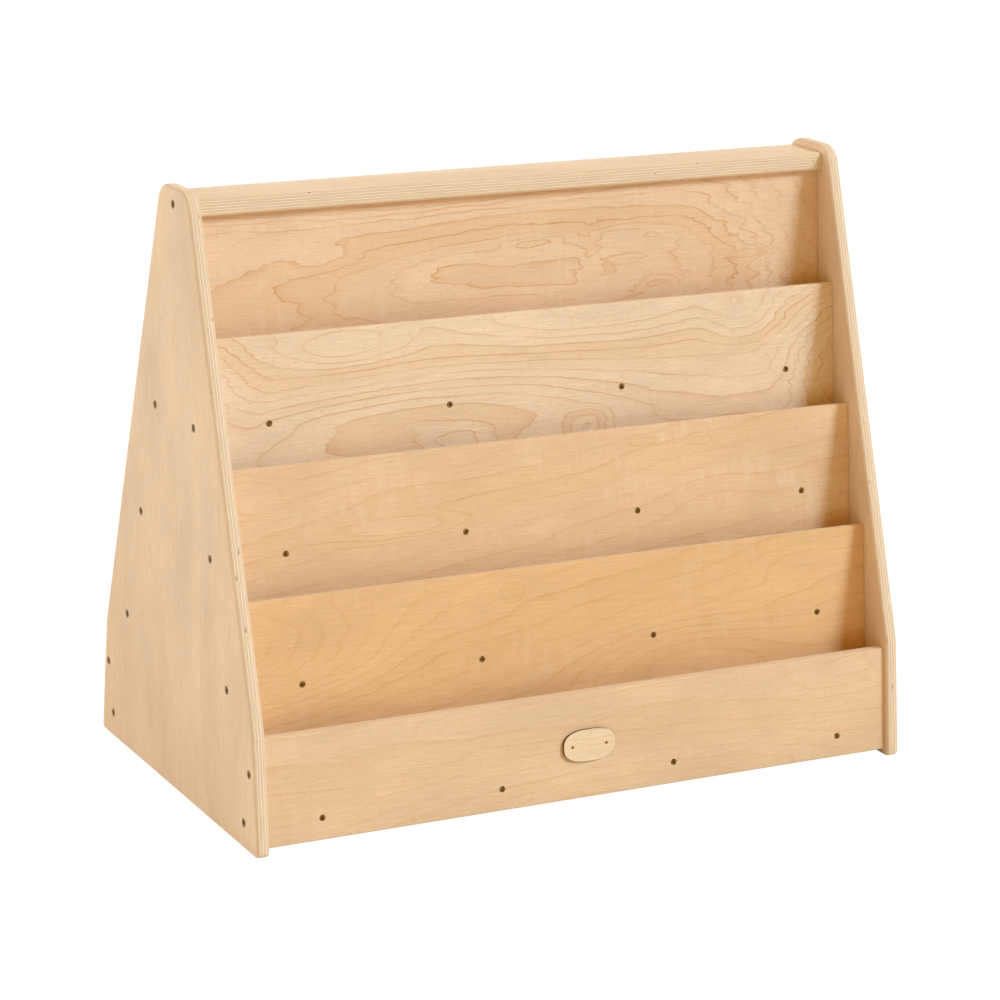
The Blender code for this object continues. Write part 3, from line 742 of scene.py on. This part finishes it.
def model_recess_punch(screws):
    """A plus-shaped punch that tapers downwards: a three by three grid without its corners, pulled down."""
    bpy.ops.object.select_all(action="DESELECT")
    bpy.ops.mesh.primitive_grid_add(x_subdivisions=3, y_subdivisions=3, size=screws.recess_span)
    punch = bpy.context.object
    half_cell = screws.recess_span / 6
    inner = half_cell * 1.1
    bpy.ops.object.mode_set(mode="EDIT")
    pick("FACE", lambda f: min(abs(f.calc_center_median().x), abs(f.calc_center_median().y)) > half_cell / 2)
    bpy.ops.mesh.delete(type="FACE")
    squeeze = screws.recess_slot / 2 / half_cell
    for axis, narrow in enumerate(((squeeze, 1, 1), (1, squeeze, 1))):
        pick("EDGE", lambda e: all(abs(v.co[axis]) < inner for v in e.verts))
        bpy.ops.transform.resize(value=narrow, center_override=(0, 0, 0))
    bpy.ops.mesh.select_all(action="SELECT")
    bpy.ops.transform.translate(value=(0, 0, screws.rim))
    down = (0, 0, -screws.rim - screws.recess_depth)
    bpy.ops.mesh.extrude_region_move(TRANSFORM_OT_translate={"value": down})
    bpy.ops.transform.resize(value=(RECESS_SHARE, RECESS_SHARE, 1), center_override=(0, 0, 0))
    bpy.ops.mesh.select_all(action="SELECT")
    bpy.ops.mesh.normals_make_consistent(inside=False)
    bpy.ops.object.mode_set(mode="OBJECT")
    return punch


def model_screw(screws):
    """One countersunk wood screw, its head's face at the origin and its tip below."""
    bpy.ops.object.select_all(action="DESELECT")
    bpy.ops.mesh.primitive_cylinder_add(
        vertices=SCREW_SIDES, radius=screws.head / 2, depth=screws.rim, location=(0, 0, -screws.rim / 2))
    screw = bpy.context.object
    bpy.ops.object.transform_apply(location=True)
    bpy.ops.object.mode_set(mode="EDIT")
    pick("FACE", lambda f: f.normal.z < -FACING)
    cone = (screws.head - screws.shank) / 2
    threaded = screws.threads * screws.pitch
    smooth = screws.length - screws.rim - cone - threaded
    crest = screws.thread / screws.shank
    bpy.ops.mesh.extrude_region_move(TRANSFORM_OT_translate={"value": (0, 0, -cone)})
    narrow = screws.shank / screws.head
    bpy.ops.transform.resize(value=(narrow, narrow, 1))
    bpy.ops.mesh.extrude_region_move(TRANSFORM_OT_translate={"value": (0, 0, -smooth)})
    half_pitch = (0, 0, -screws.pitch / 2)
    for i in range(screws.threads):
        taper = min(1.0, (screws.threads - i) / TAPERED_THREADS)
        bpy.ops.mesh.extrude_region_move(TRANSFORM_OT_translate={"value": half_pitch})
        bpy.ops.transform.resize(value=(crest, crest, 1))
        bpy.ops.mesh.extrude_region_move(TRANSFORM_OT_translate={"value": half_pitch})
        root = taper / (crest * min(1.0, (screws.threads - i + 1) / TAPERED_THREADS))
        bpy.ops.transform.resize(value=(root, root, 1))
    bpy.ops.transform.resize(value=(TIP_SHARE, TIP_SHARE, 1))
    near_top = -screws.rim / 9
    pick("EDGE", lambda e: all(v.co.z > near_top for v in e.verts))
    bpy.ops.mesh.bevel(offset=screws.rim / 2, segments=RIM_STEPS, affect="EDGES")
    bpy.ops.object.mode_set(mode="OBJECT")
    punch = model_recess_punch(screws)
    bpy.ops.object.select_all(action="DESELECT")
    bpy.context.view_layer.objects.active = screw
    screw.select_set(True)
    cut = screw.modifiers.new("cross_recess", "BOOLEAN")
    cut.operation = "DIFFERENCE"
    cut.solver = "EXACT"
    cut.object = punch
    bpy.ops.object.modifier_apply(modifier=cut.name)
    bpy.ops.object.shade_smooth_by_angle(angle=SCREW_SMOOTH)
    bpy.data.objects.remove(punch)
    return screw


def screw_seat(node):
    """Where a packed screw sits, for a screw that points down -Z, with its length and its head's diameter."""
    mesh = frame["nodes"][node].data
    points = [v.co for v in mesh.vertices]
    centre = sum(points, Vector()) / len(points)
    tip = max(points, key=lambda p: (p - centre).length)
    axis = max(mesh.polygons, key=lambda f: (f.center - tip).dot(centre - tip)).normal.copy()
    along = [(p - tip).dot(axis) for p in points]
    length = max(along)
    head = 2 * max((p - tip - axis * rise).length for p, rise in zip(points, along))
    turn = axis.to_track_quat("Z", "Y").to_matrix().to_4x4()
    return Matrix.Translation(tip + axis * length) @ turn, length, head


class BOOKCASE_OT_screws(bpy.types.Operator):
    """Drives a finely modelled screw into every hole, the rear panels' too."""

    bl_idname = "bookcase.screws"
    bl_label = "Screws"

    def execute(self, context):
        screws = context.scene.bookcase_screws
        finish = bronzed_brass()
        pattern = model_screw(screws)
        nodes = sorted(n for n in frame["nodes"] if "screw" in n)
        for i, node in enumerate(nodes):
            seat, length, head = screw_seat(node)
            places = {f"{node}_driven": seat}
            if node.startswith("front_screw"):
                places[node.replace("front", "rear") + "_driven"] = REAR_TURN @ seat
            wide = head / screws.head
            neck = -wide * (screws.rim + (screws.head - screws.shank) / 2)
            stretch = (length + neck) / (wide * screws.length + neck)
            for name, place in places.items():
                mesh = pattern.data.copy()
                mesh.transform(Matrix.Scale(wide, 4))
                for vertex in mesh.vertices:
                    if vertex.co.z < neck:
                        vertex.co.z = neck + (vertex.co.z - neck) * stretch
                mesh.transform(place @ Matrix.Rotation(GOLDEN_TURN * len(name) * (i + 1), 4, "Z"))
                stands_for = [node] if name.startswith(node) else []
                finish_piece(start_piece(name, mesh), finish, "screw", *stands_for)
        bpy.data.objects.remove(pattern)
        return {"FINISHED"}


class BOOKCASE_OT_plaque(bpy.types.Operator):
    """Finishes the plaque on the front kick panel, with a rounded, heat-browned rim and two pins."""

    bl_idname = "bookcase.plaque"
    bl_label = "Plaque"

    def execute(self, context):
        sizes = context.scene.bookcase_plaque
        tints = context.scene.bookcase_tints
        axes = board_axes("plaque", FRONT, ACROSS)
        origin, turn, thickness = axes
        inward = turn.col[1]
        plaque = board_copy("plaque")
        bpy.ops.object.mode_set(mode="EDIT")
        near_face = origin.dot(inward) + sizes.rim / 5
        pick("EDGE", lambda e: all(v.co.dot(inward) < near_face for v in e.verts))
        bpy.ops.mesh.bevel(offset=sizes.rim, segments=RIM_STEPS, affect="EDGES")
        bpy.ops.object.mode_set(mode="OBJECT")
        bpy.ops.object.shade_smooth_by_angle(angle=BOARD_SMOOTH)
        plies = context.scene.bookcase_grain.plaque_plies
        finish = birch_ply("birch_plaque", axes, tints.plaque, FIGURES["plaque"], plies, scorched=True)
        finish_piece(plaque, finish, "plaque", "plaque")

        brass = bronzed_brass()
        low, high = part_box("plaque")
        seat = (low + high) / 2 - inward * (thickness / 2)
        flatten = sizes.pin_crown / (sizes.pin / 2)
        foot = (0, 0, -sizes.pin_crown / 4)
        out = (-inward).to_track_quat("Z", "Y").to_matrix().to_4x4()
        for word, side in (("left", -1), ("right", 1)):
            bpy.ops.object.select_all(action="DESELECT")
            bpy.ops.mesh.primitive_uv_sphere_add(
                segments=PIN_SIDES, ring_count=PIN_RINGS, radius=sizes.pin / 2)
            pin = bpy.context.object
            pin.name = f"plaque_pin_{word}"
            bpy.ops.object.mode_set(mode="EDIT")
            bpy.ops.mesh.select_all(action="SELECT")
            bpy.ops.mesh.bisect(plane_co=(0, 0, 0), plane_no=(0, 0, 1), clear_inner=True, use_fill=True)
            bpy.ops.mesh.select_all(action="SELECT")
            bpy.ops.transform.resize(value=(1, 1, flatten), center_override=(0, 0, 0))
            pick("FACE", lambda f: f.normal.z < -FACING)
            bpy.ops.mesh.extrude_region_move(TRANSFORM_OT_translate={"value": foot})
            bpy.ops.object.mode_set(mode="OBJECT")
            spot = seat + ACROSS * (side * sizes.pin_spread / 2)
            pin.data.transform(Matrix.Translation(spot) @ out)
            bpy.ops.object.shade_smooth_by_angle(angle=PIN_SMOOTH)
            finish_piece(pin, brass, "screw")
        return {"FINISHED"}


class BOOKCASE_OT_stage(bpy.types.Operator):
    """Lays the white floor, sets the lamps and the air, and places the camera."""

    bl_idname = "bookcase.stage"
    bl_label = "Stage"

    def execute(self, context):
        stage = context.scene.bookcase_stage
        bpy.ops.object.select_all(action="DESELECT")
        bpy.ops.mesh.primitive_circle_add(vertices=FLOOR_SIDES, radius=FLOOR_RADIUS, fill_type="NGON")
        floor = context.object
        floor.name = "studio_floor"
        floor.data.materials.append(studio_paper())
        context.scene.world = white_studio_world()
        lamps = {
            "key_light": (stage.key_strength, stage.key_angle),
            "side_light": (stage.side_strength, stage.side_angle),
            "back_light": (stage.back_strength, stage.fill_angle),
            "top_light": (stage.top_strength, stage.fill_angle),
        }
        for name, (strength, angle) in lamps.items():
            bpy.ops.object.light_add(type="SUN")
            lamp = context.object
            lamp.name = name
            lamp.rotation_euler = Vector(LAMP_WAYS[name]).to_track_quat("Z", "Y").to_euler()
            lamp.data.energy = strength
            lamp.data.color = stage.lamp_colour
            lamp.data.angle = angle
        bpy.ops.object.camera_add(location=CAMERA_PLACE, rotation=CAMERA_TURN)
        context.scene.camera = context.object
        context.object.data.sensor_width = CAMERA_SENSOR
        context.object.data.lens = stage.lens
        context.scene.view_settings.view_transform = "Standard"
        return {"FINISHED"}


class BOOKCASE_PT_panel(bpy.types.Panel):
    bl_idname = "BOOKCASE_PT_panel"
    bl_label = "Display Bookcase"
    bl_space_type = "VIEW_3D"
    bl_region_type = "UI"
    bl_category = "Bookcase"

    def draw(self, context):
        for operator in OPERATORS:
            self.layout.operator(operator.bl_idname)
        for word, group in GROUPS.items():
            box = self.layout.box()
            box.label(text=group.__name__)
            for name in group.__annotations__:
                box.prop(getattr(context.scene, word), name)


GROUPS = {
    "bookcase_tints": BookcaseTints,
    "bookcase_grain": BookcaseGrain,
    "bookcase_screws": BookcaseScrews,
    "bookcase_plaque": BookcasePlaque,
    "bookcase_stage": BookcaseStage,
}
OPERATORS = (
    BOOKCASE_OT_sides,
    BOOKCASE_OT_rail,
    BOOKCASE_OT_panels,
    BOOKCASE_OT_floors,
    BOOKCASE_OT_screws,
    BOOKCASE_OT_plaque,
    BOOKCASE_OT_stage,
)


def register():
    for made in (*GROUPS.values(), *OPERATORS, BOOKCASE_PT_panel):
        bpy.utils.register_class(made)
    for word, group in GROUPS.items():
        setattr(bpy.types.Scene, word, PointerProperty(type=group))


def unregister():
    for word in GROUPS:
        delattr(bpy.types.Scene, word)
    for made in (BOOKCASE_PT_panel, *reversed(OPERATORS), *GROUPS.values()):
        bpy.utils.unregister_class(made)


def main():
    register()
    bpy.ops.bookcase.sides()
    bpy.ops.bookcase.rail()
    bpy.ops.bookcase.panels()
    bpy.ops.bookcase.floors()
    bpy.ops.bookcase.screws()
    bpy.ops.bookcase.plaque()
    bpy.ops.bookcase.stage()


if __name__ == "__main__":
    main()
